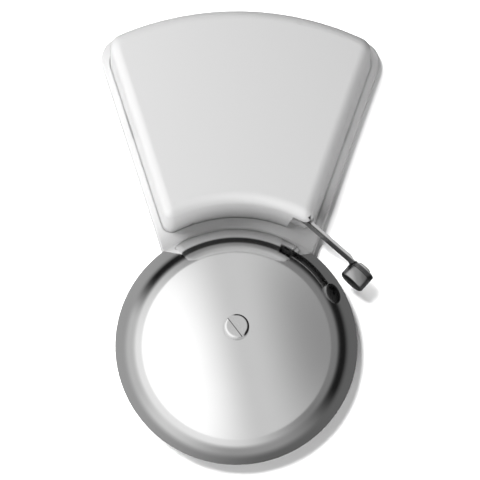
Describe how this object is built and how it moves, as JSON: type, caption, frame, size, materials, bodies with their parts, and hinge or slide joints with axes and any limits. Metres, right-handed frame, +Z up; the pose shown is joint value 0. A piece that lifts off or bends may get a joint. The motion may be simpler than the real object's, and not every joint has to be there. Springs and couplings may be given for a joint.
{
  "type": "electric trembler wall bell",
  "caption": "Wall-mounted electric trembler bell: fan-shaped moulded case, polished dome gong below it and a hammer on a sprung arm.",
  "frame": {"origin": "on the wall face of the base plate, on the gong's axis", "axes": "+Z up the wall, +Y into the wall, the front looks along -Y and +X is to the right seen from the front"},
  "size_m": [0.1188, 0.0481, 0.1959],
  "materials": {
    "white_plastic": "smooth semi-gloss moulding",
    "polished_steel": "mirror polished",
    "hammer_steel": "bright turned",
    "plated_steel": "zinc plated",
    "spring_steel": "rolled and tempered",
    "soft_iron": "plain, cold rolled",
    "brass": "turned",
    "bronze": "rolled phosphor bronze",
    "silver": "silver contact",
    "enamelled_wire": "enamelled copper wire",
    "black_plastic": "phenolic moulding",
    "fibre": "vulcanised fibre",
    "black_rubber": "moulded rubber",
    "lead_sleeve": "insulated flexible wire"
  },
  "bodies": {
    "base": {"base_plate": "white_plastic", "cable_grommet": "black_rubber", "gong_insert": "brass", "gong_pillar": "plated_steel", "gong_washer": "fibre", "gong": "polished_steel", "gong_screw": "polished_steel", "chassis_plate": "plated_steel", "chassis_screws": "plated_steel", "yoke": "plated_steel", "coil_core": "soft_iron", "coil_bobbin": "black_plastic", "coil_winding": "enamelled_wire", "core_screw": "plated_steel", "hinge_leaf": "spring_steel", "leaf_clamp": "plated_steel", "leaf_clamp_screws": "plated_steel", "contact_screw": "brass", "contact_lock_nut": "brass", "contact_bracket": "brass", "contact_insulator": "fibre", "bracket_screw": "plated_steel", "terminal_block": "black_plastic", "terminal_clamps": "brass", "terminal_screws": "plated_steel", "terminal_fixing_screw": "plated_steel", "coil_lead": "lead_sleeve", "contact_lead": "lead_sleeve"},
    "striker": {"armature": "soft_iron", "striker_arm": "plated_steel", "arm_rivets": "brass", "hammer": "hammer_steel", "hammer_rivet": "plated_steel", "contact_spring": "bronze", "contact_tip": "silver"},
    "cover": {"cover": "white_plastic"}
  },
  "joints": [
    {"name": "striker_swing", "type": "hinge", "parent": "base", "child": "striker", "pos_m": [-0.01301, -0.018, 0.08598], "axis": [0, 1, 0], "range_deg": [0, 2.1], "stiffness_Nm_per_rad": 0.12, "springref_deg": -2.86, "deforming": ["hinge_leaf"]},
    {"name": "cover_pull", "type": "slide", "parent": "base", "child": "cover", "axis": [0, -1, 0], "range_m": [0, 0.045]}
  ]
}
